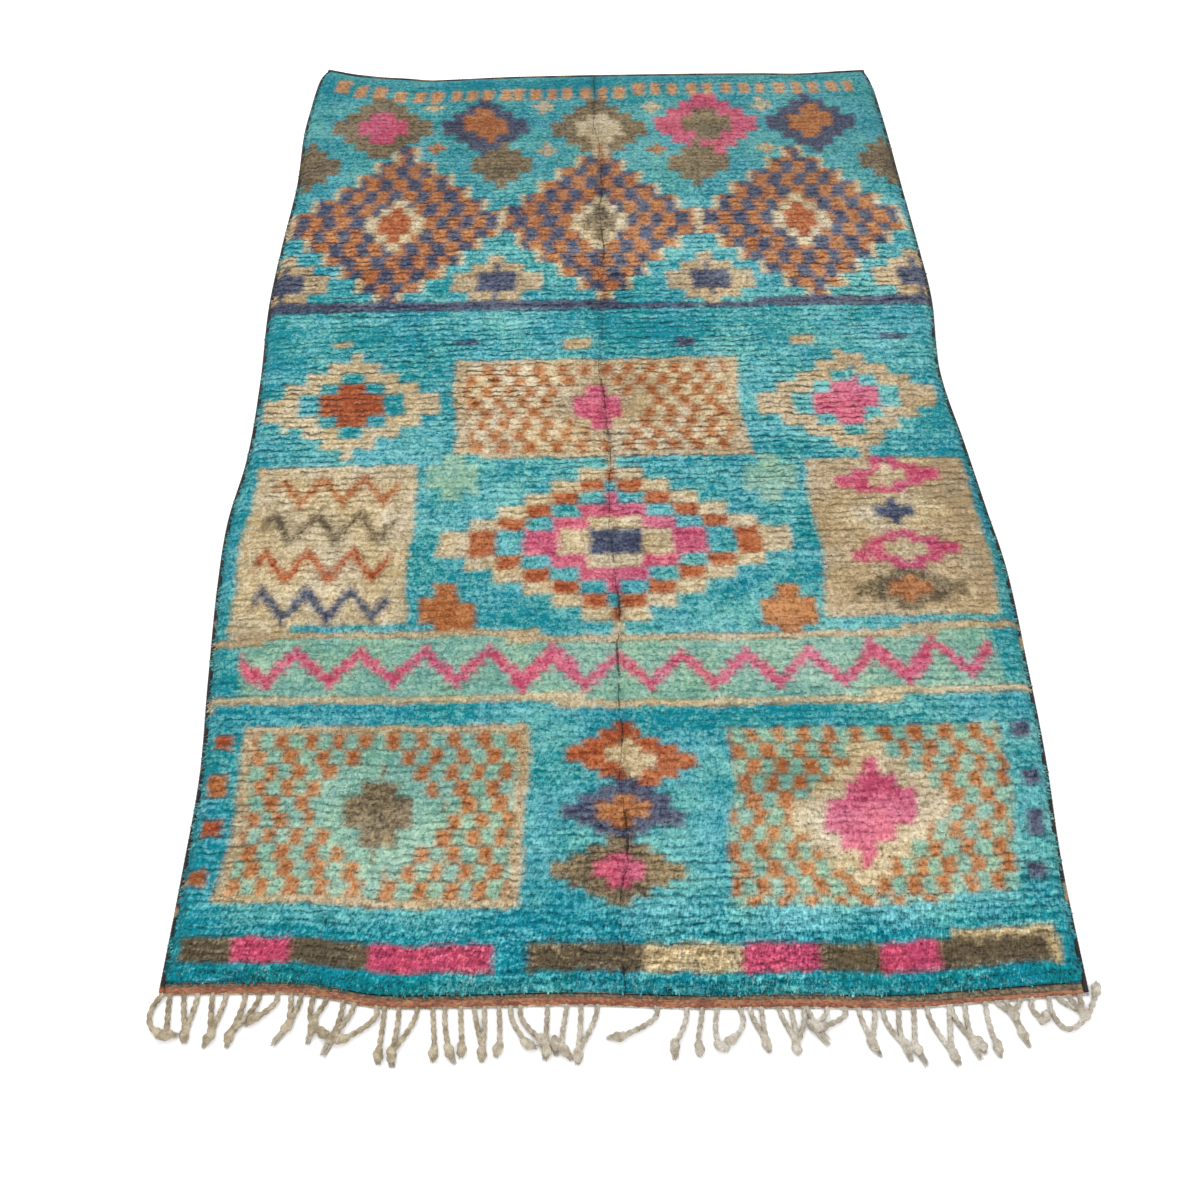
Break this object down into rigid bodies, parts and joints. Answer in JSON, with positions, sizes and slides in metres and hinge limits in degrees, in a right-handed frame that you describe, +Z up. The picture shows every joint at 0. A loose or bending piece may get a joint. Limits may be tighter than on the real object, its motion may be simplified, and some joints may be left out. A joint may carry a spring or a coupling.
{
  "type": "boujaad rug",
  "caption": "Hand-knotted wool pile rug, laid flat, with wrapped side cords, a twined end band and a knotted warp fringe at one end.",
  "frame": {"origin": "on the floor, on the underside of the pile field at the middle of the rug", "axes": "+X across the rug, +Y along it away from the fringe end, +Z up from the floor"},
  "size_m": [1.6435, 2.7377, 0.0272],
  "materials": {
    "wool_pile": "long matt wool pile, turquoise ground with cream, tan, rust, pink, olive and slate motifs, tips bleached lighter than roots",
    "dark_wool": "dark brown wool, wrapped tightly over the edge cords",
    "rust_wool": "rust wool, flat twined band with a thin olive line",
    "warp_wool": "undyed greige wool, plied warp cords with knots and frayed tails"
  },
  "bodies": {
    "root": {"pile_field": "wool_pile", "side_cord_left": "dark_wool", "side_cord_right": "dark_wool", "top_edge": "dark_wool", "end_band": "rust_wool", "fringe": "warp_wool"}
  },
  "joints": []
}
